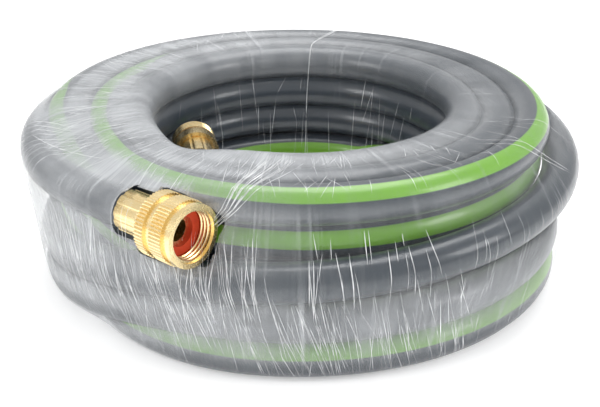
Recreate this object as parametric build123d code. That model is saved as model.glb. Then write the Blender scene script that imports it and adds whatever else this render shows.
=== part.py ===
"""Water hose, 21 mm outside, wound into a packed coil, with brass couplings and stretch film.

One STEP is written per physical piece. Units are millimetres and +Z is up. The coil's axis is
the Z axis, it rests on Z = 0, and angles around it are in degrees, counterclockwise from +X.
"""

import math
import os

from build123d import *

# --- Stretch film --------------------------------------------------------------------------
film_wall = 0.3
film_gap = 0.4
film_window_gap = 1.0

# --- Hose and hose ends --------------------------------------------------------------------
hose_od = 21.0
liner_id = 15.4
liner_wall = 1.1
braid_wall = 0.4
ferrule_grip = 18.0

# --- Winding: each turn's place, in the order it is wound -----------------------------------
# (hose diameters out from the innermost turn, hose diameters up from the film)
inner_turn_radius = 84.5
start_turns = [(0.40, 3.44), (0.36, 2.56), (0.12, 1.56), (0.00, 0.50)]
second_turns = [(0.93, 0.50), (1.02, 1.42), (1.29, 2.37), (1.29, 3.32)]
top_turns = [(0.50, 4.32), (1.40, 4.30), (2.29, 4.30)]
third_turns = [(2.14, 3.35), (2.21, 2.37), (1.86, 1.44), (1.81, 0.50)]
outer_turns = [(2.69, 0.50), (2.74, 1.46)]
winding = start_turns + second_turns + top_turns + third_turns + outer_turns

coil_sectors = 12
sector_gap = 0.1

# --- Last turn, which climbs outside the others to the female coupling ----------------------
wrap_out = 3.14
wrap_start_angle = 225.0
wrap_end_angle = 555.0
wrap_step = 30.0
wrap_low = 2.1
wrap_high = 3.9
wrap_ease = 3.0
wrap_run_in = 25.0

# --- Female coupling: its place, then its pieces --------------------------------------------
female_angle = 235.35
female_out = 3.003
female_up = 3.92
female_lean = -6.65
coupling_room = 0.6
tail_wall = 1.7
barb_height = 0.35
barb_count = 4
tail_neck_length = 6.2
flange_step = 0.2
flange_length = 7.8
ferrule_proud = 0.4
ferrule_wall = 0.9
ferrule_end_wall = 1.2
ferrule_lobes = 10
ferrule_lobe_depth = 0.5
nut_wall = 1.8
nut_band_height = 1.55
nut_back_wall = 5.0
nut_mouth_length = 1.073
nut_gap = 0.06
nut_side_gap = 0.3
nut_shoulder_gap = 0.35
nut_knurls = 56
knurl_depth = 0.6
nut_bands = [(1.0, 7.0), (11.0, 19.5)]
nut_lip_length = 2.5
thread_pitch = 2.209
thread_depth = 1.1
thread_land = 0.7
female_minor_radius = 12.3
female_threads = 3
washer_side_gap = 0.1
washer_seat_gap = 0.05
washer_front_gap = 0.4
washer_id = 15.5
washer_length = 3.0

# --- Male coupling: the inner end's bend and height, then its pieces --------------------------
lead_bend = 3.5
lead_step = 15.0
lead_steps = 9
male_heading = 100.0
male_up = 2.95
male_thread_grip = 1.0
male_threads = 4
male_collar_step = 0.2
male_collar_length = 9.0
male_relief_length = 1.5

hose_radius = hose_od / 2
film_skin = film_gap + film_wall
braid_id = liner_id + 2 * liner_wall
cover_id = braid_id + 2 * braid_wall
ferrule_outer = hose_radius + ferrule_proud
ferrule_inner = ferrule_outer - ferrule_wall
tail_od = liner_id
tail_bore = tail_od - 2 * tail_wall
barb_pitch = ferrule_grip / barb_count
washer_od = 2 * (female_minor_radius - washer_side_gap)
flange_od = washer_od - 2 * flange_step
nut_core_od = 2 * (female_minor_radius + thread_depth + nut_wall)
nut_od = nut_core_od + 2 * nut_band_height
male_major_radius = female_minor_radius + male_thread_grip
male_collar_od = 2 * (male_major_radius + male_collar_step)


def export(shape, name):
    """Write one node's solid to its own STEP file."""
    whole = shape.solids()[0] if len(shape.solids()) == 1 else shape
    export_step(whole, f"parts/{name}.step")
    print(name, len(shape.solids()), "solid,", round(shape.volume), "mm3")


def out(diameters):
    """A radius given in hose diameters out from the innermost turn."""
    return inner_turn_radius + diameters * hose_od


def up(diameters):
    """A height given in hose diameters up from the film."""
    return film_skin + diameters * hose_od


def ring_point(angle, radius, height):
    """A point at an angle in degrees, a radius and a height."""
    turn = math.radians(angle)
    return Vector(radius * math.cos(turn), radius * math.sin(turn), height)


def heading(degrees):
    """A level direction."""
    return Vector(math.cos(math.radians(degrees)), math.sin(math.radians(degrees)), 0)


def turned(points):
    """Revolve a closed outline of (x, radius) points about the X axis."""
    return revolve(make_face(Polyline(*points, close=True)), Axis.X)


def sleeve(start, end, outer, inner):
    """A round sleeve along X."""
    return turned([(start, inner), (end, inner), (end, outer), (start, outer)])


def lobed_sleeve(start, end, outer, inner, lobes, depth):
    """A sleeve along X whose outside has shallow round flutes."""
    rim = Plane(origin=(start, 0, 0), x_dir=(0, 1, 0), z_dir=(1, 0, 0))
    flute = math.pi * outer / lobes * 0.62
    drop = outer - depth + flute
    section = Circle(outer) - PolarLocations(drop, lobes) * Circle(flute) - Circle(inner)
    return extrude(rim * section, end - start)


def placed(shape, end, degrees):
    """Move a piece that is modelled along +X to a hose end."""
    return Pos(*end) * Rot(0, 0, degrees) * shape


# --- Hose ----------------------------------------------------------------------------------
def corner_radii(points):
    """Each corner's arc: 0.45 of the shorter run, over the tangent of half the turn."""
    radii = []
    for before, here, after in zip(points, points[1:], points[2:]):
        run_in, run_out = here - before, after - here
        half_turn = math.radians(run_in.get_angle(run_out)) / 2
        radii.append(0.45 * min(run_in.length, run_out.length) / math.tan(half_turn))
    return radii


def hose_along(points, name, radius=hose_radius):
    """A round hose along straight runs joined by tangent arcs."""
    radii = corner_radii(points)
    path = FilletPolyline(*points, radius=radii)
    start = Plane(origin=path @ 0, z_dir=path % 0)
    body = sweep(start * Circle(radius), path=path)
    share = body.volume / (math.pi * radius**2 * path.length)
    print(name, "radii", [round(r) for r in radii], "length", round(path.length))
    print(name, "volume over section times length", round(share, 4))
    return body


def coil():
    """The packed turns in equal sectors, scalloped outside and cleared for the hose's two ends."""
    places = [(out(a), up(b)) for a, b in winding]
    core = [places[i] for i in (8, 0, 1, 2, 3, 4, 14, 15, 16, 13, 12, 11, 10, 9)]
    outline = make_face(Polyline(*core, close=True))
    for place in places:
        outline += Pos(*place) * Circle(hose_radius)
    arc = 360 / coil_sectors
    sector = revolve(Plane.XZ * outline, Axis.Z, revolution_arc=arc - sector_gap)
    room = sleeve(-wrap_run_in, nut_end + nut_length, nut_od / 2 + coupling_room, 0)
    room = placed(room, female_end, female_heading)
    outer = hose_along(wrap_route(), "room for the outer turn")
    inner = hose_along(lead_route(), "room for the inner end")
    sectors = [Rot(0, 0, arc * i) * sector - room - outer - inner for i in range(coil_sectors)]
    return Compound(children=[solid for part in sectors for solid in part.solids()])


def wrap_corner(angle):
    """One corner of the last turn, on a ring that the arcs then touch from inside."""
    share = (angle - wrap_start_angle) / (wrap_end_angle - wrap_start_angle)
    height = wrap_low + (wrap_high - wrap_low) * (1 - (1 - share) ** wrap_ease)
    return ring_point(angle, out(wrap_out) / math.cos(math.radians(wrap_step / 2)), up(height))


def wrap_route():
    """The last turn: off the outer turn, round on its own ring and straight into the coupling."""
    steps = round((wrap_end_angle - wrap_start_angle) / wrap_step)
    last_out, last_up = outer_turns[-1]
    first = ring_point(wrap_start_angle - wrap_step, out(last_out), up(last_up))
    corners = [wrap_corner(wrap_start_angle + i * wrap_step) for i in range(steps + 1)]
    return [first] + corners + [female_end - heading(female_heading) * wrap_run_in, female_end]


def lead_point(turned_by, distance, straight=0.0):
    """A point of the inner end's bend: how far round, how far out, and how far back along it."""
    merge = male_heading + 90 + lead_step * lead_steps
    centre = ring_point(merge, out(start_turns[0][0]) - lead_bend * hose_od, 0)
    share = max(0, turned_by - lead_step / 2) / (lead_step * (lead_steps - 0.5))
    level = up(male_up + (start_turns[0][1] - male_up) * share)
    spoke = male_heading + 90 + turned_by
    return centre + ring_point(spoke, distance, level) + heading(spoke - 90) * straight


lead_half_run = lead_bend * hose_od * math.tan(math.radians(lead_step / 2))
female_end = ring_point(female_angle, out(female_out), up(female_up))
female_heading = female_angle + 90 + female_lean
male_end = lead_point(0, lead_bend * hose_od, lead_half_run)


def lead_route():
    """The inner end: one even bend from the male coupling into the first turn."""
    corner = lead_bend * hose_od / math.cos(math.radians(lead_step / 2))
    turns = [lead_step * (i + 0.5) for i in range(lead_steps)]
    last = lead_point(lead_step * lead_steps, lead_bend * hose_od, -lead_half_run)
    return [male_end] + [lead_point(turn, corner) for turn in turns] + [last]


# --- Hose layers and ferrule at either end ---------------------------------------------------
def hose_end_layers():
    """The three layers of the hose's last stretch, pushed over the barbed tail."""
    return {
        "liner": sleeve(0, ferrule_grip, braid_id / 2, liner_id / 2) - barbs(0.0),
        "braid": sleeve(0, ferrule_grip, cover_id / 2, braid_id / 2),
        "cover": sleeve(0, ferrule_grip, ferrule_inner, cover_id / 2),
    }


def barbs(bore_radius):
    """The tail's saw-tooth outline, which bites into the liner."""
    root, points = tail_od / 2, []
    for i in range(barb_count):
        x = i * barb_pitch
        points += [(x, root), (x + barb_pitch, root + barb_height)]
    outline = [(0, bore_radius)] + points + [(ferrule_grip, root), (ferrule_grip, bore_radius)]
    return turned(outline)


def ferrule():
    """A brass sleeve crimped over the hose, closed round the tail at its front."""
    grip = lobed_sleeve(
        0, ferrule_grip, ferrule_outer, ferrule_inner, ferrule_lobes, ferrule_lobe_depth
    )
    front = ferrule_grip + ferrule_end_wall
    return grip + sleeve(ferrule_grip, front, ferrule_outer - ferrule_lobe_depth, tail_od / 2)


# --- Female coupling -------------------------------------------------------------------------
neck_end = ferrule_grip + ferrule_end_wall + tail_neck_length
flange_end = neck_end + flange_length
thread_start = flange_end + washer_seat_gap + washer_length + washer_front_gap
thread_length = female_threads * thread_pitch + thread_land
nut_start = neck_end - nut_back_wall - nut_shoulder_gap
nut_end = thread_start + thread_length + nut_mouth_length
nut_length = nut_end - nut_start


def female_stem():
    """The barbed tail with the flange that holds the nut on and backs the washer."""
    neck = sleeve(ferrule_grip, neck_end, tail_od / 2, tail_bore / 2)
    flange = sleeve(neck_end, flange_end, flange_od / 2, tail_bore / 2)
    return barbs(tail_bore / 2) + neck + flange


def knurled_band(start, end):
    """A band of straight knurls around the nut."""
    rim = Plane(origin=(start, 0, 0), x_dir=(0, 1, 0), z_dir=(1, 0, 0))
    tooth = math.pi * nut_od / nut_knurls
    notch = Rectangle(tooth * 0.5, tooth * 0.5, rotation=45)
    cut = PolarLocations(nut_od / 2, nut_knurls) * notch
    return extrude(rim * (Circle(nut_od / 2) - cut), end - start)


def thread_grooves(start, count, radius):
    """Cutters for ring-shaped thread grooves: grooves start at the given radius."""
    grooves = []
    for i in range(count):
        x = start + thread_land + i * thread_pitch
        width = thread_pitch - thread_land
        tip = (x + width / 2, radius + thread_depth)
        grooves.append(turned([(x, 0), (x, radius), tip, (x + width, radius), (x + width, 0)]))
    return grooves


def swivel_nut():
    """The nut: two knurled bands, a threaded mouth and a back wall behind the flange."""
    body = sleeve(nut_start, nut_end, nut_core_od / 2, 0)
    for start, end in nut_bands:
        body += knurled_band(nut_start + start, nut_start + end)
    body += sleeve(nut_end - nut_lip_length, nut_end, nut_od / 2 - knurl_depth, 0)
    body -= sleeve(nut_start - 1, nut_end, tail_od / 2 + nut_gap, 0)
    body -= sleeve(nut_start + nut_back_wall, thread_start, washer_od / 2 + nut_side_gap, 0)
    body -= sleeve(thread_start - 0.1, nut_end + 1, female_minor_radius, 0)
    for groove in thread_grooves(thread_start, female_threads, female_minor_radius):
        body -= groove
    mouth = female_minor_radius + thread_depth + 0.2
    return body - sleeve(thread_start + thread_length, nut_end + 1, mouth, 0)


def nut_washer():
    """The flat red washer on the flange."""
    seat = flange_end + washer_seat_gap
    return sleeve(seat, seat + washer_length, washer_od / 2, washer_id / 2)


# --- Male coupling ---------------------------------------------------------------------------
male_collar_start = ferrule_grip + ferrule_end_wall
male_collar_end = male_collar_start + male_collar_length
male_thread_start = male_collar_end + male_relief_length
male_tip = male_thread_start + male_threads * thread_pitch + thread_land


def male_stem():
    """The barbed tail, a collar and the male thread, all bored through."""
    root = male_major_radius - thread_depth
    bore = tail_bore / 2
    body = barbs(bore) + sleeve(ferrule_grip, male_collar_start, tail_od / 2, bore)
    body += sleeve(male_collar_start, male_collar_end, male_collar_od / 2, bore)
    body += sleeve(male_collar_end, male_thread_start, root, bore)
    outline = [(male_thread_start, bore), (male_thread_start, male_major_radius)]
    for i in range(male_threads):
        x = male_thread_start + thread_land + i * thread_pitch
        width = thread_pitch - thread_land
        outline += [(x, male_major_radius), (x + width / 2, root), (x + width, male_major_radius)]
    outline += [(male_tip, male_major_radius), (male_tip, bore)]
    return body + turned(outline)


# --- Stretch film ----------------------------------------------------------------------------
def film_body(grow):
    """The taut outline that film makes round all the turns, grown by the given amount."""
    places = [(out(a), up(b)) for a, b in winding]
    bulge = 1 + 0.1 * (1 / math.cos(math.radians(wrap_step / 2)) - 1)
    low, high = [(out(wrap_out) * bulge, up(level)) for level in (wrap_low, wrap_high)]
    rings = [Pos(*place) * Circle(hose_radius + grow) for place in places + [low, high]]
    edges = [edge for ring in rings for edge in ring.edges()]
    return revolve(Plane.XZ * make_hull(edges), Axis.Z)


def stretch_film():
    """A closed skin with a window at each coupling, where the hose's ends come out."""
    skin = film_body(film_skin) - film_body(film_gap)
    way_out = nut_end + 3 * nut_length
    window = sleeve(nut_start - 4, way_out, nut_od / 2 + film_window_gap, 0)
    skin -= placed(window, female_end, female_heading)
    grip = sleeve(-hose_radius, nut_start, ferrule_outer + film_window_gap, 0)
    skin -= placed(grip, female_end, female_heading)
    fitting = sleeve(-hose_radius, male_tip + 2, male_collar_od / 2 + film_window_gap, 0)
    skin -= placed(fitting, male_end, male_heading)
    return skin - hose_along(lead_route(), "film window", hose_radius + film_gap)


def main():
    """Write every piece."""
    os.makedirs("parts", exist_ok=True)
    export(coil(), "hose_coil")
    export(hose_along(wrap_route(), "hose_outer_turn"), "hose_outer_turn")
    export(hose_along(lead_route(), "hose_inner_end"), "hose_inner_end")
    for side, end, degrees in (
        ("female", female_end, female_heading),
        ("male", male_end, male_heading),
    ):
        for layer, shape in hose_end_layers().items():
            export(placed(shape, end, degrees), f"{side}_hose_{layer}")
        export(placed(ferrule(), end, degrees), f"{side}_ferrule")
    export(placed(female_stem(), female_end, female_heading), "female_stem")
    export(placed(swivel_nut(), female_end, female_heading), "swivel_nut")
    export(placed(nut_washer(), female_end, female_heading), "nut_washer")
    export(placed(male_stem(), male_end, male_heading), "male_stem")
    export(stretch_film(), "stretch_film")
    print("female end", tuple(female_end), "heading", female_heading)
    print("nut from", nut_start, "to", nut_end, "thread from", thread_start)
    print("male end", tuple(male_end), "heading", male_heading)
    print("male thread from", male_thread_start, "to", male_tip)


main()
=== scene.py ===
# %% [markdown]
# # A coiled water hose in stretch film
# The object is one long hose with a brass coupling at each end, wound into a ring and wrapped in
# clear stretch film. The measured model is loaded first as a fixed frame: it gives every size and
# place. The hose, the film and the finishes are then made on top of it.

# %% Load the frame
import math
import random

import bpy
import numpy as np
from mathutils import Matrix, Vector


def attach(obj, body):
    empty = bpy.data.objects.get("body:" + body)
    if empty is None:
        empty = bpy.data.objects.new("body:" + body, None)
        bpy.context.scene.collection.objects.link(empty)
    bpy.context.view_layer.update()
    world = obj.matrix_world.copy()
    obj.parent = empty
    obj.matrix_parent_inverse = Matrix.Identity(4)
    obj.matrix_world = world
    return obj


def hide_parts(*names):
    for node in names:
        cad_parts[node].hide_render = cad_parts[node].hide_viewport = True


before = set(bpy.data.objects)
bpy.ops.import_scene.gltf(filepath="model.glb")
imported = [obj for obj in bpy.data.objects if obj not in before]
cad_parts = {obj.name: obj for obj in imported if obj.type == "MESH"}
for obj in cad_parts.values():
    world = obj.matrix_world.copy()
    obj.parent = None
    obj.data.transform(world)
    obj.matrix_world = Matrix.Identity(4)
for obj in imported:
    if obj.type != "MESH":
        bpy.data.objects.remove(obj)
bpy.context.view_layer.update()
random.seed(11)
MM = 0.001


def nothing_selected():
    """Operators act on all that is selected, so each step starts with nothing selected."""
    if bpy.context.object and bpy.context.object.mode != "OBJECT":
        bpy.ops.object.mode_set(mode="OBJECT")
    bpy.ops.object.select_all(action="DESELECT")


def only(piece):
    """Select one piece and make it the active one."""
    nothing_selected()
    piece.select_set(True)
    bpy.context.view_layer.objects.active = piece


# %% [markdown]
# ## The hose's route
# A wound hose is hard to draw by hand and easy to describe: each turn keeps its place in the
# stack, then shifts to the next place in one short crossing zone at the left front. The places
# are given in hose diameters, the angles in degrees counterclockwise from +X.

# %% Places of the turns
hose_od = 21.0
hose_r = hose_od / 2
innermost = 84.5
floor_gap = 0.75

start_turns = [(0.40, 3.44), (0.36, 2.56), (0.12, 1.56), (0.00, 0.50)]
second_turns = [(0.93, 0.50), (1.02, 1.42), (1.29, 2.37), (1.29, 3.32)]
top_turns = [(0.50, 4.32), (1.40, 4.30), (2.29, 4.30)]
third_turns = [(2.14, 3.35), (2.21, 2.37), (1.86, 1.44), (1.81, 0.50)]
outer_turns = [(2.69, 0.50), (2.74, 1.46)]
places = start_turns + second_turns + top_turns + third_turns + outer_turns

crossing_from, crossing_to = 195.0, 250.0
full_turn = 10
full_turn_starts_early, full_turn_out = 12.0, 4.5
full_turn_from, full_turn_over = 440.0, 80.0


def ease(x):
    """A smooth step from 0 to 1."""
    x = min(1.0, max(0.0, x))
    return x * x * (3 - 2 * x)


# %% [markdown]
# The last turn leaves the stack, climbs along the outside and ends in the female coupling. The
# outermost turn on top is pushed out a little at the left, where the crossings make the coil
# fuller.

# %% The last turn and the two ends
last_turn = [
    (250.0, 149.5, 54.5),
    (270.0, 150.0, 58.0),
    (310.0, 150.5, 64.5),
    (360.0, 151.0, 71.0),
    (410.0, 151.0, 75.0),
    (450.0, 150.5, 77.5),
    (500.0, 150.0, 79.5),
    (545.0, 150.0, 82.0),
    (575.0, 150.0, 83.0),
    (584.0, 148.9, 83.0),
]


def between(table, angle):
    """Read a place from a table of (angle, radius, height), in between by straight lines."""
    angles = [row[0] for row in table]
    return [float(np.interp(angle, angles, [row[i] for row in table])) for i in (1, 2)]


def place_of(angle):
    """Radius and height of the hose's centreline at an angle counted from the first turn."""
    turn = int((angle - crossing_to) // 360)
    around = angle - 360 * turn
    last = len(places) - 1
    if turn > last:
        return between(last_turn, around - 360 * (turn - last - 1))
    out_, up_ = places[max(0, turn)]
    start = 360 + crossing_from
    if turn == full_turn:
        start -= full_turn_starts_early
    share = ease((around - start) / (crossing_to - crossing_from))
    radius, height = innermost + out_ * hose_od, floor_gap + up_ * hose_od
    if turn == full_turn:
        radius += full_turn_out * ease((around - full_turn_from) / full_turn_over) * (1 - share)
    if turn == last:
        to_radius, to_height = last_turn[0][1:]
    else:
        out_, up_ = places[turn + 1]
        to_radius, to_height = innermost + out_ * hose_od, floor_gap + up_ * hose_od
    return radius + (to_radius - radius) * share, height + (to_height - height) * share


# %% [markdown]
# The curve is a smooth spline that cuts a little inside its control points, so they are set out
# from the wanted circle by the right share.

# %% Control points
step = 20.0
swell = 4 / (3 + math.cos(math.radians(step)))


def around_axis(angle, radius, height):
    """A point at an angle, a radius and a height, in metres."""
    turn = math.radians(angle)
    return Vector((radius * math.cos(turn), radius * math.sin(turn), height)) * MM


def along(degrees):
    """A level direction."""
    return Vector((math.cos(math.radians(degrees)), math.sin(math.radians(degrees)), 0))


female_angle = 235.35
female_heading = 318.7
female_end = around_axis(female_angle, 147.563, 83.02)
male_heading = 100.0
male_end = Vector((-58.172, -14.361, 62.65)) * MM
female_straight, male_straight = 0.018, 0.010

# The inner end's bend, from the male coupling to the first turn: (angle, radius, height)
inner_end = [
    (212.0, 65.0, 62.9),
    (230.0, 72.5, 63.8),
    (250.0, 79.0, 65.5),
    (270.0, 85.5, 67.8),
    (290.0, 90.5, 70.2),
    (311.0, 93.3, 72.0),
]
route = [male_end, male_end - along(male_heading) * male_straight]
route += [around_axis(a, r, z) for a, r, z in inner_end]
first_angle, last_gap = 330.0, 12
angle = first_angle
stop = crossing_to + 360 * len(places) + last_turn[-1][0] - last_turn[0][0]
while angle < stop - last_gap:
    radius, height = place_of(angle)
    route.append(around_axis(angle, radius * swell, height))
    angle += step
route.append(female_end - along(female_heading) * female_straight)
route.append(female_end)
print("control points", len(route), "turns", round((stop - first_angle) / 360, 1))


# %% [markdown]
# A curve with no thickness carries the route. Its mesh copy gives closely spaced points, which
# the hose's skin follows. The spline's order is set after its points.

# %% The centreline
curve = bpy.data.curves.new("hose_route", "CURVE")
curve.dimensions = "3D"
curve.resolution_u = 7
spline = curve.splines.new("NURBS")
spline.points.add(len(route) - 1)
for point, place in zip(spline.points, route):
    point.co = (*place, 1)
spline.order_u = 3
spline.use_endpoint_u = True
carrier = bpy.data.objects.new("hose_route", curve)
bpy.context.scene.collection.objects.link(carrier)
line_mesh = bpy.data.meshes.new_from_object(carrier)
line = np.array([v.co[:] for v in line_mesh.vertices])
bpy.data.objects.remove(carrier)
runs = np.linalg.norm(np.diff(line, axis=0), axis=1)
travel = np.concatenate([[0], np.cumsum(runs)])

# %% [markdown]
# ## The hose's skin
# The hose is extruded plastic with one green stripe that twists very slowly along it. The
# skin is a tube round the centreline, and its map holds the way round the hose and the distance
# along it, so that the finish can draw the stripe along the whole length.
#
# The table says which way the stripe faces at each turn, counted from the front: 0 is outward,
# 90 is up, 180 is inward. Most turns face their neighbours, so the stripe is hidden there.

# %% Where the stripe faces
stripe_turns = [
    (-1.0, 0), (2.3, 0), (2.42, 160), (2.62, 165), (2.8, 60), (3.5, 0), (8.0, -40), (9.0, -30),
    (9.3, 0), (9.58, 0), (9.67, 96), (9.8, 80), (10.0, 52), (10.3, 48), (10.45, 20),
    (10.68, 5), (10.74, 66), (10.80, 74), (10.86, 40), (11.0, 21), (11.5, 25), (12.0, -20),
    (14.4, 0), (14.7, 38), (15.0, 43), (15.4, 40), (15.8, 110), (16.0, 165), (16.5, 180),
    (18.2, 180),
]
bearing = np.degrees(np.unwrap(np.arctan2(line[:, 1], line[:, 0])))
male_bearing = 196
bearing += 360 * round((male_bearing - bearing[0]) / 360)
turns_done = (bearing - 270) / 360
roll = np.interp(turns_done, [row[0] for row in stripe_turns], [row[1] for row in stripe_turns])
print("hose winds from", round(bearing[0]), "to", round(bearing[-1]), "degrees")

# %% A tube that follows points
sides = 22


def piece_from(name, verts, faces):
    """A new mesh piece from points and faces."""
    mesh = bpy.data.meshes.new(name)
    mesh.from_pydata([tuple(v) for v in verts], [], [tuple(f) for f in faces])
    mesh.update()
    piece = bpy.data.objects.new(name, mesh)
    bpy.context.scene.collection.objects.link(piece)
    return piece


def frames_along(points):
    """Tangent, level side and upward side at each point of a line."""
    forward = np.gradient(points, axis=0)
    forward /= np.linalg.norm(forward, axis=1)[:, None]
    side = np.cross(forward, [0.0, 0.0, 1.0])
    side /= np.linalg.norm(side, axis=1)[:, None]
    return forward, side, np.cross(side, forward)


def hose_skin(points, radius, roll_degrees, distances):
    """The tube, with its map: x is the way round from the stripe, y the distance along."""
    forward, side, upward = frames_along(points)
    around = np.arange(sides) / sides * 2 * math.pi
    ring = np.cos(around)[None, :, None] * side[:, None]
    ring = ring + np.sin(around)[None, :, None] * upward[:, None]
    verts = (points[:, None] + ring * radius).reshape(-1, 3)
    rows, count = len(points), sides
    i, j = np.meshgrid(np.arange(rows - 1), np.arange(count), indexing="ij")
    k = (j + 1) % count
    faces = np.stack([i * count + j, (i + 1) * count + j, (i + 1) * count + k, i * count + k], -1)
    hose = piece_from("hose_winding", verts, faces.reshape(-1, 4))
    way = np.stack([j, j, j + 1, j + 1], -1) / sides - np.stack(
        [roll_degrees[i], roll_degrees[i + 1], roll_degrees[i + 1], roll_degrees[i]], -1
    ) / 360
    far = np.stack([distances[i], distances[i + 1], distances[i + 1], distances[i]], -1)
    layer = hose.data.uv_layers.new(name="along_hose")
    layer.data.foreach_set("uv", np.stack([way, far], -1).reshape(-1).astype(np.float32))
    return hose


hose = hose_skin(line, hose_r * MM, roll, travel)
only(hose)
bpy.ops.object.mode_set(mode="EDIT")
bpy.ops.mesh.select_all(action="SELECT")
bpy.ops.mesh.normals_make_consistent(inside=False)
bpy.ops.object.mode_set(mode="OBJECT")
bpy.ops.object.shade_smooth()
print("hose faces", len(hose.data.polygons))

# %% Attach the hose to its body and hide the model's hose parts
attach(hose, "hose")
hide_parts("hose_coil", "hose_outer_turn", "hose_inner_end")

# %% [markdown]
# ## The stretch film
# Film pulled tight round a bundle makes the shortest skin round it: in every upright slice
# through the axis it is a rubber band round the turns there. So each slice's outline is found
# from how far the turns reach in each direction, and the slices are joined into one skin. How
# far the film stands off the hose is kept with each point, because film looks clear where it
# touches and milky where it doesn't.

# %% Outline of one slice
slices, band_points = 460, 100
film_gap, film_low = 0.35, 0.2
underside_middle = 113.0
bend_ends_at = 300
ahead_of_hose = (6, 12, 18, 23)
directions = np.radians(np.arange(0, 360, 0.5))
compass = np.stack([np.cos(directions), np.sin(directions)], -1)

line_mm = line / MM
hose_rows = np.stack([bearing, np.hypot(line_mm[:, 0], line_mm[:, 1]), line_mm[:, 2]], -1)
hose_rows = hose_rows[hose_rows[:, 0] > bend_ends_at]
tail = [np.array(female_end) / MM + np.array(along(female_heading)) * x for x in ahead_of_hose]
tail_rows = []
for spot in tail:
    past_end = math.degrees(math.atan2(spot[1], spot[0])) % 360 - female_angle
    tail_rows.append((hose_rows[-1, 0] + past_end, math.hypot(spot[0], spot[1]), spot[2]))
hose_rows = np.concatenate([hose_rows, tail_rows])


def hoses_at(angle):
    """The (radius, height) of every turn in the slice at an angle."""
    count = int((hose_rows[-1, 0] - angle) // 360) + 1
    crossings = [angle + 360 * k for k in range(count) if hose_rows[0, 0] <= angle + 360 * k]
    radii = np.interp(crossings, hose_rows[:, 0], hose_rows[:, 1])
    return np.stack([radii, np.interp(crossings, hose_rows[:, 0], hose_rows[:, 2])], -1)


reach = []
for i in range(slices):
    centres = hoses_at(360 * i / slices)
    reach.append((centres @ compass.T).max(axis=0) + hose_r + film_gap)
reach = np.array(reach)
spread = 3
padded = np.stack([np.roll(reach, shift, axis=0) for shift in range(-spread, spread + 1)])
taut = padded.max(axis=0)
window = np.hanning(2 * spread + 3)[1:-1]
smooth = sum(w * np.roll(taut, s, axis=0) for w, s in zip(window, range(-spread, spread + 1)))
reach = smooth / window.sum()
print("film reaches", round(reach[:, 0].max(), 1), "mm out and", round(reach[:, 180].max(), 1), "mm up")


# %% The skin
def outline(reach_row):
    """Evenly spaced points round a slice, starting in the middle of the underside."""
    slope = np.gradient(np.concatenate([reach_row[-1:], reach_row, reach_row[:1]]))[1:-1]
    slope /= directions[1] - directions[0]
    across = np.stack([-compass[:, 1], compass[:, 0]], -1)
    points = reach_row[:, None] * compass + slope[:, None] * across
    low = int(np.argmax(np.where(points[:, 0] > underside_middle, -points[:, 1], -1e9)))
    points = np.roll(points, -low, axis=0)
    first = np.array([[underside_middle, points[0, 1]]])
    points = np.concatenate([first, points, first])
    lengths = np.concatenate([[0], np.cumsum(np.linalg.norm(np.diff(points, axis=0), axis=1))])
    at = np.arange(band_points) / band_points * lengths[-1]
    return np.stack([np.interp(at, lengths, points[:, 0]), np.interp(at, lengths, points[:, 1])], -1)


film_rows = np.array([outline(row) for row in reach])
film_rows[:, :, 1] = np.maximum(film_rows[:, :, 1], film_low)
stand_off = np.zeros((slices, band_points))
for i in range(slices):
    centres = hoses_at(360 * i / slices)
    apart = np.linalg.norm(film_rows[i][:, None] - centres[None], axis=2)
    stand_off[i] = apart.min(axis=1) - hose_r
print("film stands off", round(stand_off.min(), 2), "to", round(stand_off.max(), 1), "mm")

# %% [markdown]
# The skin carries two values at each point: how milky it is, and where it lies on the film, as
# the distance round the coil and the distance round the slice. The milkiness is strong at the
# left, where the hose crosses over and the film bridges, and weak under the front lip, where
# one clean layer is pulled tight.

# %% Build the film
spin = 2 * math.pi * np.arange(slices) / slices
film_xy = np.stack([np.cos(spin), np.sin(spin)], -1)
film_points = np.empty((slices, band_points, 3))
film_points[:, :, :2] = film_rows[:, :, :1] * film_xy[:, None] * MM
film_points[:, :, 2] = film_rows[:, :, 1] * MM
i, j = np.meshgrid(np.arange(slices), np.arange(band_points), indexing="ij")
i2, j2 = (i + 1) % slices, (j + 1) % band_points
corners = [(i, j), (i2, j), (i2, j2), (i, j2)]
film_faces = np.stack([a * band_points + b for a, b in corners], -1).reshape(-1, 4)
middles = film_points.reshape(-1, 3)[film_faces].mean(axis=1)


def near_coupling(points, end, degrees, low, high, radius):
    """Which points lie in a round space along a coupling's axis."""
    offset = points - np.array(end)
    ahead = offset @ np.array(along(degrees))
    aside = np.linalg.norm(offset - ahead[:, None] * np.array(along(degrees)), axis=1)
    return (ahead > low * MM) & (ahead < high * MM) & (aside < radius * MM)


# Round spaces that are cut from the film: a hose end, its way, from, to, radius
openings = [
    (female_end, female_heading, 2, 20, 14.0),
    (female_end, female_heading, 19, 48, 17.4),
    (male_end, male_heading, -5, 55, 17.0),
]
cut_away = np.any([near_coupling(middles, *opening) for opening in openings], axis=0)
film_faces = film_faces[~cut_away]
film = piece_from("film_wrap", film_points.reshape(-1, 3), film_faces)

# %% [markdown]
# Cutting whole faces out leaves a stepped edge. The edge's points are moved onto the round space
# that was cut, so the film hugs the coupling like a collar.

# %% Smooth the edge of the opening
used = np.zeros(len(film.data.edges), dtype=int)
edge_of_loop = np.empty(len(film.data.loops), dtype=np.int32)
film.data.loops.foreach_get("edge_index", edge_of_loop)
np.add.at(used, edge_of_loop, 1)
rim = {v for e in film.data.edges if used[e.index] == 1 for v in e.vertices}


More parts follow.
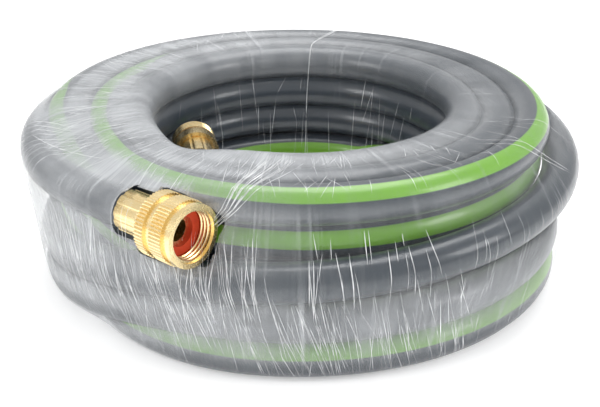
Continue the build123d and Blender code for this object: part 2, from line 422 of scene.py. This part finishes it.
def hug(point, end, degrees, low, high, radius):
    """Move an edge point onto the side of a round space, if it is near it."""
    ahead_way = along(degrees)
    offset = point - end
    ahead = offset.dot(ahead_way)
    aside = offset - ahead_way * ahead
    if low * MM < ahead < high * MM and 0.5 * radius * MM < aside.length < 1.25 * radius * MM:
        return end + ahead_way * ahead + aside.normalized() * radius * MM
    return point


collars = [
    (female_end, female_heading, 0, 18, 13.6),
    (female_end, female_heading, 18, 51, 17.3),
    (male_end, male_heading, -9, 59, 16.6),
]
for index in rim:
    vertex = film.data.vertices[index]
    for collar in collars:
        vertex.co = hug(vertex.co, *collar)
film.data.update()
print("points on the film's edges", len(rim))

# %% How milky the film is
def bump_at(value, centre, width):
    """A smooth hill of height 1 at a centre, for angles or heights."""
    return np.exp(-(((value - centre) / width) ** 2))


def angle_hill(value, centre, width):
    """The same for angles, the short way round."""
    return bump_at((value - centre + 180) % 360 - 180, 0, width)


angles = np.degrees(spin)[:, None] + np.zeros((1, band_points))
radii, heights = film_rows[:, :, 0], film_rows[:, :, 1]
bridging = np.clip((stand_off - 0.5) / 2.2, 0, 1)
outside = np.clip((radii - 118) / 14, 0, 1)
left = np.clip(angle_hill(angles, 214, 36) + 0.6 * angle_hill(angles, 160, 40), 0, 1)
left_top = angle_hill(angles, 190, 45) + 0.8 * angle_hill(angles, 120, 50)
left_top = np.clip(left_top + 0.7 * angle_hill(angles, 240, 28), 0, 1)
lip = bump_at(heights, 75, 17) * outside
clear_lip = angle_hill(angles, 285, 22) * lip + 0.8 * angle_hill(angles, 330, 34) * lip
inner_wall = np.clip((100 - radii) / 6, 0, 1) * np.clip((92 - heights) / 8, 0, 1)
on_top = np.clip((heights - 84) / 8, 0, 1)
inner_top = bump_at(radii, 101, 14) * on_top
touching = np.clip(1 - stand_off / 1.1, 0, 1)
milk = 0.06 + 0.24 * bridging * outside + 0.46 * left * (0.25 + 0.75 * bridging) * outside
milk += inner_top * (0.26 + 0.56 * angle_hill(angles, 255, 62))
milk += left_top * on_top * (0.40 + 0.40 * bridging)
milk += 0.24 * bump_at(heights, 36, 24) * outside * angle_hill(angles, 258, 50)
milk *= (1 - 0.9 * np.clip(clear_lip, 0, 1)) * (1 - 0.80 * inner_wall) * (1 - 0.25 * touching)
milk = np.clip(milk, 0.0, 1.0)
layer = film.data.attributes.new("milk", "FLOAT", "POINT")
layer.data.foreach_set("value", milk.reshape(-1).astype(np.float32))
lane = film.data.uv_layers.new(name="on_film")
corner_points = np.empty(len(film.data.loops), dtype=np.int32)
film.data.loops.foreach_get("vertex_index", corner_points)
row, col = corner_points // band_points, corner_points % band_points
first_row = np.repeat(film_faces[:, 0] // band_points, 4)
first_col = np.repeat(film_faces[:, 0] % band_points, 4)
row = np.where(row < first_row, row + slices, row)
col = np.where(col < first_col, col + band_points, col)
coil_radius_m, round_slice_m = 0.150, 0.330
round_coil = row / slices * 2 * math.pi * coil_radius_m
round_slice = col / band_points * round_slice_m
lane.data.foreach_set("uv", np.stack([round_coil, round_slice], -1).reshape(-1).astype(np.float32))

only(film)
bpy.ops.object.mode_set(mode="EDIT")
bpy.ops.mesh.select_all(action="SELECT")
bpy.ops.mesh.delete_loose()
bpy.ops.mesh.select_all(action="SELECT")
bpy.ops.mesh.normals_make_consistent(inside=False)
bpy.ops.object.mode_set(mode="OBJECT")
bpy.ops.object.shade_smooth()
wall = film.modifiers.new("film_wall", "SOLIDIFY")
wall.thickness = 0.0001
wall.offset = 1.0
bpy.ops.object.modifier_apply(modifier="film_wall")
print("film faces", len(film.data.polygons))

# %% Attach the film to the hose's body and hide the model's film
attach(film, "hose")
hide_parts("stretch_film")

# %% [markdown]
# ## Gathered film and painted highlights
# Where the film is pulled together it shows as fine white threads on its surface. The white threads
# are partly this gathered film and partly painted highlights on the film's wrinkles. Each thread
# is a thin ribbon that tapers to nothing at both ends and follows the film. A thread is given
# by the places it passes: angle, radius and height, each moved to the nearest point of the film.

# %% Follow the film
thread_lift = 0.00025


def on_film(angle, radius, height):
    """The slice and the point in it that are nearest to a place."""
    slice_at = int(round(angle / 360 * slices)) % slices
    row = film_rows[slice_at]
    m = int(np.argmin((row[:, 0] - radius) ** 2 + (row[:, 1] - height) ** 2))
    return slice_at, m


def film_place(slice_at, m):
    """A point just outside the film, between its own points, and the way out there."""
    i0, m0 = int(math.floor(slice_at)), int(math.floor(m))
    fi, fm = slice_at - i0, m - m0
    p = [[film_points[(i0 + a) % slices, (m0 + b) % band_points] for b in (0, 1)] for a in (0, 1)]
    place = (p[0][0] * (1 - fm) + p[0][1] * fm) * (1 - fi) + (p[1][0] * (1 - fm) + p[1][1] * fm) * fi
    out = np.cross(p[1][0] - p[0][0], p[0][1] - p[0][0])
    out /= np.linalg.norm(out)
    return place + out * thread_lift, out


def thread(stops, width, rows=14):
    """A tapered ribbon through places on the film, as (points, faces)."""
    spots = []
    for stop in stops:
        i, m = on_film(*stop)
        if spots:
            i += round((spots[-1][0] - i) / slices) * slices
            m += round((spots[-1][1] - m) / band_points) * band_points
        spots.append((i, m))
    share = np.linspace(0, len(spots) - 1, rows)
    ii = np.interp(share, range(len(spots)), [s[0] for s in spots])
    mm = np.interp(share, range(len(spots)), [s[1] for s in spots])
    centre, outward = zip(*[film_place(i, m) for i, m in zip(ii, mm)])
    centre = np.array(centre)
    ahead = np.gradient(centre, axis=0)
    across = np.cross(ahead, np.array(outward))
    across /= np.linalg.norm(across, axis=1)[:, None] + 1e-12
    half = width * MM / 2 * np.sin(np.linspace(0.06, math.pi - 0.06, rows)) ** 0.6
    left_side, right_side = centre - across * half[:, None], centre + across * half[:, None]
    quads = [(r, r + 1, rows + r + 1, rows + r) for r in range(rows - 1)]
    return np.concatenate([left_side, right_side]), quads


threads = []
crest = 104


def scatter(count, angle, height, slant, length, width, radius=150.0):
    """Random threads that run down the outside: ranges of angle, height, slant and length."""
    for _ in range(count):
        a, z = random.uniform(*angle), random.uniform(*height)
        drop, lean = random.uniform(*length), random.gauss(*slant)
        ends = [(a, radius, z), (a + lean * drop, radius, z - drop)]
        threads.append(thread(ends, random.uniform(*width)))


# %% Threads down the outside
scatter(230, (194, 262), (45, 84), (0.06, 0.05), (14, 46), (0.14, 0.36))
scatter(110, (258, 302), (22, 62), (0.09, 0.04), (12, 40), (0.14, 0.34))
scatter(60, (300, 350), (20, 80), (-0.02, 0.04), (10, 34), (0.12, 0.24))
scatter(160, (0, 194), (20, 80), (0.0, 0.05), (10, 40), (0.14, 0.34))
# Wider white threads under the front lip: painted highlights on the film's wrinkles.
scatter(20, (271, 294), (66, 88), (0.02, 0.03), (10, 24), (0.25, 0.55))
print("threads outside", len(threads))

# %% Threads over the top and down the hole
for _ in range(220):
    a = random.gauss(215, 60)
    r0 = random.uniform(98, 128)
    a1 = a + random.gauss(0, 2.5)
    r1 = r0 + random.uniform(8, 26)
    threads.append(thread([(a, r0, crest), (a1, r1, crest)], random.uniform(0.14, 0.3)))
for _ in range(34):
    a, z = random.uniform(20, 160), random.uniform(50, 92)
    a1 = a + random.gauss(0, 1.5)
    z1 = z - random.uniform(10, 40)
    threads.append(thread([(a, 82, z), (a1, 80, z1)], random.uniform(0.12, 0.26)))

# %% Threads that fan out from the nut, and a few long ones
for share in np.linspace(0, 1, 15):
    start = (259 + 12 * share + random.gauss(0, 0.6), 98 + 8 * random.random(), crest)
    over_edge, down = (255.5 + 2.5 * share, 141, 93), (252.5 + 2.2 * share, 150, 84)
    threads.append(thread([start, over_edge, down], 0.38))
for shift in (0, 0.5, 1.0):
    stops = [(76 + shift, 146, 92), (81 + shift, 118, 104), (85, 97, 104), (87, 83, 70), (88, 80, 22)]
    threads.append(thread(stops, 0.6, 40))
long_threads = [(318, 118, 338, 158), (320, 116, 339, 158), (335, 112, 352, 158), (196, 158, 222, 128)]
for a0, r0, a1, r1 in long_threads:
    threads.append(thread([(a0, r0, 100), (a1, r1, 78)], 0.4, 24))
for share in np.linspace(0, 1, 9):
    stops = [(203 + 16 * share, 128, 102), (190 + 20 * share, 150, 92), (186 + 22 * share, 158, 80)]
    threads.append(thread(stops, 0.28, 24))

# %% One piece for all threads
points, faces, base = [], [], 0
for verts, quads in threads:
    points.append(verts)
    faces += [tuple(v + base for v in quad) for quad in quads]
    base += len(verts)
film_threads_and_glints = piece_from("film_threads_and_glints", np.concatenate(points), faces)
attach(film_threads_and_glints, "hose")
print("threads", len(threads), "faces", len(faces))

# %% [markdown]
# ## Finishes
# Each finish is a Principled shader. What more than one finish needs, such as fine grain, is a
# node group, built once and given its own values in each material.

# %% Node helpers
def new_group(name, inputs, outputs):
    """An empty shader group with named sockets and its two ends."""
    group = bpy.data.node_groups.new(name, "ShaderNodeTree")
    for label, kind, value in inputs:
        socket = group.interface.new_socket(name=label, in_out="INPUT", socket_type=kind)
        if value is not None:
            socket.default_value = value
    for label, kind in outputs:
        group.interface.new_socket(name=label, in_out="OUTPUT", socket_type=kind)
    return group, group.nodes.new("NodeGroupInput"), group.nodes.new("NodeGroupOutput")


def add(tree, kind, **values):
    """A node with some of its settings and inputs filled in."""
    node = tree.nodes.new(kind)
    for key, value in values.items():
        if key in node.inputs:
            node.inputs[key].default_value = value
        elif hasattr(node, key):
            setattr(node, key, value)
        else:
            raise ValueError(f"{kind} has no {key}")
    return node


def new_material(name, **values):
    """A material with a plain Principled shader set to given values."""
    material = bpy.data.materials.new(name)
    material.use_nodes = True
    shader = material.node_tree.nodes["Principled BSDF"]
    for key, value in values.items():
        shader.inputs[key.replace("_", " ")].default_value = value
    return material, material.node_tree, shader


def math_node(tree, operation, first, second=None, clamp=False):
    """A Math node on two sockets or numbers."""
    node = tree.nodes.new("ShaderNodeMath")
    node.operation, node.use_clamp = operation, clamp
    for index, value in enumerate((first, second)):
        if value is None:
            continue
        if isinstance(value, (int, float)):
            node.inputs[index].default_value = value
        else:
            tree.links.new(value, node.inputs[index])
    return node.outputs[0]


def mixed(tree, share, first, second):
    """Mix two colours, each a socket or four numbers."""
    node = tree.nodes.new("ShaderNodeMix")
    node.data_type = "RGBA"
    for socket, value in ((node.inputs[0], share), (node.inputs[6], first), (node.inputs[7], second)):
        if isinstance(value, (int, float, tuple)):
            socket.default_value = value
        else:
            tree.links.new(value, socket)
    return node.outputs[2]


def put_on(name, material):
    """Give a CAD node its finish."""
    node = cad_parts[name]
    node.data.materials.clear()
    node.data.materials.append(material)


# %% Fine grain, for every finish
grain, grain_in, grain_out = new_group(
    "fine grain",
    [
        ("Scale", "NodeSocketFloat", 400.0),
        ("Height", "NodeSocketFloat", 0.2),
        ("Spread", "NodeSocketFloat", 0.1),
    ],
    [("Normal", "NodeSocketVector"), ("Mask", "NodeSocketFloat")],
)
spot = add(grain, "ShaderNodeTexCoord")
noise = add(grain, "ShaderNodeTexNoise", Detail=3.0, Roughness=0.6)
grain.links.new(spot.outputs["Object"], noise.inputs["Vector"])
grain.links.new(grain_in.outputs["Scale"], noise.inputs["Scale"])
dent = add(grain, "ShaderNodeBump", Distance=0.0004)
grain.links.new(grain_in.outputs["Height"], dent.inputs["Strength"])
grain.links.new(noise.outputs["Fac"], dent.inputs["Height"])
grain.links.new(dent.outputs["Normal"], grain_out.inputs["Normal"])
centred = math_node(grain, "SUBTRACT", noise.outputs["Fac"], 0.5)
spread_out = math_node(grain, "MULTIPLY", centred, grain_in.outputs["Spread"])
grain.links.new(spread_out, grain_out.inputs["Mask"])


def with_grain(tree, shader, scale, height, spread, base_roughness):
    """Drive a shader's normal and roughness from the grain group."""
    node = tree.nodes.new("ShaderNodeGroup")
    node.node_tree = grain
    for key, value in (("Scale", scale), ("Height", height), ("Spread", spread)):
        node.inputs[key].default_value = value
    tree.links.new(node.outputs["Normal"], shader.inputs["Normal"])
    roughness = math_node(tree, "ADD", node.outputs["Mask"], base_roughness, True)
    tree.links.new(roughness, shader.inputs["Roughness"])


def patches(tree, scale, detail):
    """Slow noise over the piece, for uneven colour."""
    place_on_piece = add(tree, "ShaderNodeTexCoord")
    noise = add(tree, "ShaderNodeTexNoise", Scale=scale, Detail=detail)
    tree.links.new(place_on_piece.outputs["Object"], noise.inputs["Vector"])
    return noise.outputs["Fac"]


# %% [markdown]
# The hose is slate grey flexible plastic. Its stripe is drawn from the map's way round: the
# distance from the nearest whole number is the distance from the stripe's middle.

# %% Hose finish
hose_finish, tree, shader = new_material(
    "slate_plastic", Specular_IOR_Level=0.5, Coat_Weight=0.35, Coat_Roughness=0.12
)
with_grain(tree, shader, 900.0, 0.12, 0.25, 0.34)
place = add(tree, "ShaderNodeUVMap", uv_map="along_hose")
split = add(tree, "ShaderNodeSeparateXYZ")
tree.links.new(place.outputs["UV"], split.inputs[0])
nearest = math_node(tree, "PINGPONG", split.outputs["X"], 0.5)
soft = add(tree, "ShaderNodeMapRange")
stripe_edge_outer, stripe_edge_inner = 0.076, 0.066
soft.inputs["From Min"].default_value = stripe_edge_outer
soft.inputs["From Max"].default_value = stripe_edge_inner
tree.links.new(nearest, soft.inputs["Value"])
blotch = patches(tree, 18.0, 2.0)
slate = mixed(tree, blotch, (0.026, 0.034, 0.044, 1), (0.038, 0.048, 0.060, 1))
green = mixed(tree, blotch, (0.11, 0.29, 0.012, 1), (0.15, 0.37, 0.02, 1))
tree.links.new(mixed(tree, soft.outputs[0], slate, green), shader.inputs["Base Color"])
hose.data.materials.append(hose_finish)
for name in ("female_hose_cover", "male_hose_cover"):
    put_on(name, hose_finish)

# %% Liner and braid, seen at the hose's ends
liner_finish, tree, shader = new_material("black_liner", Base_Color=(0.012, 0.012, 0.014, 1))
with_grain(tree, shader, 600.0, 0.1, 0.2, 0.45)
braid_finish, tree, shader = new_material("white_braid", Base_Color=(0.7, 0.7, 0.66, 1))
with_grain(tree, shader, 2500.0, 0.6, 0.3, 0.7)
for side_name in ("female", "male"):
    put_on(f"{side_name}_hose_liner", liner_finish)
    put_on(f"{side_name}_hose_braid", braid_finish)

# %% [markdown]
# The couplings are machined brass: bright, with fine grain and a little darker tarnish in
# patches.

# %% Brass finish
brass_finish, tree, shader = new_material("machined_brass", Metallic=1.0, Specular_IOR_Level=0.5)
with_grain(tree, shader, 1500.0, 0.15, 0.3, 0.24)
brass = mixed(tree, patches(tree, 160.0, 4.0), (0.90, 0.66, 0.30, 1), (0.97, 0.82, 0.50, 1))
tree.links.new(brass, shader.inputs["Base Color"])
for name in ("female_stem", "female_ferrule", "swivel_nut", "male_stem", "male_ferrule"):
    put_on(name, brass_finish)

# %% Washer finish
washer_finish, tree, shader = new_material("red_rubber", Specular_IOR_Level=0.35)
with_grain(tree, shader, 1200.0, 0.3, 0.2, 0.55)
red = mixed(tree, patches(tree, 240.0, 3.0), (0.48, 0.035, 0.012, 1), (0.66, 0.075, 0.025, 1))
tree.links.new(red, shader.inputs["Base Color"])
put_on("nut_washer", washer_finish)

# %% [markdown]
# Stretch film is clear where it lies on the hose and milky where it bridges. The fine white lines
# along the pull, which goes the short way round the coil, are painted highlights on the film's
# wrinkles. The lines are noise that is stretched along that way. They drive how much of the film
# shows at all.

# %% Film lines: milkiness and painted highlights
lines, lines_in, lines_out = new_group(
    "film milk and glint lines",
    [("Milk", "NodeSocketFloat", 0.4)],
    [("Alpha", "NodeSocketFloat"), ("Height", "NodeSocketFloat")],
)
place = add(lines, "ShaderNodeUVMap", uv_map="on_film")


def stretched_noise(tree, socket, along_scale, across_scale, detail, slant=0.0):
    """Noise drawn out along the film's pull."""
    mapping = add(tree, "ShaderNodeMapping")
    mapping.inputs["Scale"].default_value = (across_scale, along_scale, 1)
    mapping.inputs["Rotation"].default_value = (0, 0, slant)
    tree.links.new(socket, mapping.inputs["Vector"])
    noise = add(tree, "ShaderNodeTexNoise", Scale=1.0, Detail=detail, Roughness=0.65)
    tree.links.new(mapping.outputs[0], noise.inputs["Vector"])
    return noise.outputs["Fac"]


def stretched_to(tree, value, low, high, to_low=0.0, to_high=1.0):
    """Map a range of a value onto another, clamped."""
    node = add(tree, "ShaderNodeMapRange")
    for key, number in (("From Min", low), ("From Max", high), ("To Min", to_low), ("To Max", to_high)):
        node.inputs[key].default_value = number
    tree.links.new(value, node.inputs["Value"])
    return node.outputs[0]


fine = stretched_noise(lines, place.outputs["UV"], 12.0, 900.0, 3.0, 0.05)
coarse = stretched_noise(lines, place.outputs["UV"], 9.0, 190.0, 2.0, -0.04)
clouds = stretched_noise(lines, place.outputs["UV"], 22.0, 30.0, 3.0)
# The white lines are painted highlights on the film's wrinkles, set into the film's alpha.
fine_glint_lines = stretched_to(lines, fine, 0.50, 0.72)
coarse_glint_lines = stretched_to(lines, coarse, 0.60, 0.72)
cloudy = stretched_to(lines, clouds, 0.30, 0.70, 0.55, 1.25)
milky = math_node(lines, "MULTIPLY", lines_in.outputs["Milk"], cloudy)
fine_glint_share = math_node(lines, "MULTIPLY", fine_glint_lines, 0.55)
coarse_glint_share = math_node(lines, "MULTIPLY", coarse_glint_lines, 0.75)
glint_streaks = math_node(lines, "ADD", fine_glint_share, coarse_glint_share)
glint_strength = math_node(lines, "ADD", math_node(lines, "MULTIPLY", milky, 0.8), 0.06)
drawn = math_node(lines, "MULTIPLY", glint_streaks, glint_strength)
total = math_node(lines, "ADD", math_node(lines, "MULTIPLY", milky, 0.75), drawn, True)
lines.links.new(total, lines_out.inputs["Alpha"])
lines.links.new(math_node(lines, "ADD", fine, coarse), lines_out.inputs["Height"])

# %% Film finish
film_finish, tree, shader = new_material(
    "stretch_film", Base_Color=(0.60, 0.62, 0.64, 1), Roughness=0.22, Specular_IOR_Level=0.6
)
value = add(tree, "ShaderNodeAttribute", attribute_name="milk")
group = tree.nodes.new("ShaderNodeGroup")
group.node_tree = lines
tree.links.new(value.outputs["Fac"], group.inputs["Milk"])
film_strength = 0.62
# The alpha holds the film's milkiness and the painted highlights on its wrinkles.
alpha = math_node(tree, "MULTIPLY", group.outputs["Alpha"], film_strength)
tree.links.new(alpha, shader.inputs["Alpha"])
dent = add(tree, "ShaderNodeBump", Strength=0.5, Distance=0.0008)
tree.links.new(group.outputs["Height"], dent.inputs["Height"])
tree.links.new(dent.outputs["Normal"], shader.inputs["Normal"])
film.data.materials.append(film_finish)
# White threads: partly gathered film, partly painted highlights on its wrinkles.
thread_and_glint_finish, tree, shader = new_material(
    "gathered_film_and_glints", Base_Color=(0.92, 0.93, 0.94, 1), Roughness=0.3, Specular_IOR_Level=0.6
)
uneven = stretched_to(tree, patches(tree, 120.0, 2.0), 0.3, 0.7, 0.25, 0.85)
tree.links.new(uneven, shader.inputs["Alpha"])
film_threads_and_glints.data.materials.append(thread_and_glint_finish)

# %% [markdown]
# ## Floor, light and camera
# A plain white floor and wide soft lights, as in a small studio.

# %% Floor
nothing_selected()
bpy.ops.mesh.primitive_plane_add(size=8, location=(0, 0, 0))
floor = bpy.context.object
floor.name = "floor"
floor_finish, tree, shader = new_material("white_paper", Base_Color=(0.93, 0.93, 0.93, 1), Roughness=0.9)
shader.inputs["Emission Color"].default_value = (1, 1, 1, 1)
shader.inputs["Emission Strength"].default_value = 0.35
floor.data.materials.append(floor_finish)

# %% Light
world = bpy.data.worlds.new("studio")
bpy.context.scene.world = world
world.use_nodes = True
world.node_tree.nodes["Background"].inputs["Color"].default_value = (1, 1, 1, 1)
world.node_tree.nodes["Background"].inputs["Strength"].default_value = 0.8


def soft_light(name, place, aim, size, power):
    """A square soft light at a place, turned to face a point."""
    lamp = bpy.data.lights.new(name, "AREA")
    lamp.size, lamp.energy = size, power
    light = bpy.data.objects.new(name, lamp)
    bpy.context.scene.collection.objects.link(light)
    light.location = place
    light.rotation_euler = (Vector(aim) - Vector(place)).to_track_quat("-Z", "Y").to_euler()
    return light


soft_light("top_light", (0.15, 0.35, 1.3), (0, 0, 0.05), 0.9, 12)
soft_light("left_light", (-1.1, -0.7, 0.8), (0, 0, 0.05), 0.6, 6)
soft_light("right_light", (1.2, -0.5, 0.7), (0, 0, 0.05), 0.5, 5)

# %% Camera
lens = bpy.data.cameras.new("camera")
lens.lens, lens.sensor_width = 72.0, 36.0
camera = bpy.data.objects.new("camera", lens)
bpy.context.scene.collection.objects.link(camera)
camera.location = (0.0, -0.660, 0.330)
camera.rotation_euler = (math.radians(90 - 24.3), 0, 0)
bpy.context.scene.camera = camera
bpy.context.scene.view_settings.view_transform = "Standard"

# %% Finish
bpy.context.view_layer.update()
